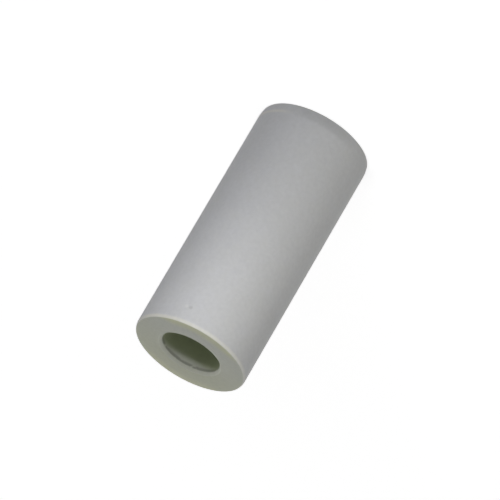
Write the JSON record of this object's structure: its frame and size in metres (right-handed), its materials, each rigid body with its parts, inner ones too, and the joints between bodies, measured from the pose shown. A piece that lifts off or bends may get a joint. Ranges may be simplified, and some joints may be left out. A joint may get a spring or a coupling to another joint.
{
  "type": "round spacer",
  "caption": "Short thick-walled round plastic tube with a smooth through bore and flat square ends, clamped by a screw to hold panels apart.",
  "frame": {"origin": "centre of the base end face, on the bore's axis", "axes": "+Z along the bore, from the base end to the top end; X and Y are any two directions across it, as the part is round"},
  "size_m": [0.008, 0.008, 0.018],
  "materials": {
    "natural_polyamide": "satin natural polyamide, milky and faintly translucent, pale grey with a slight warm tint"
  },
  "bodies": {
    "root": {"spacer": "natural_polyamide"}
  },
  "joints": []
}
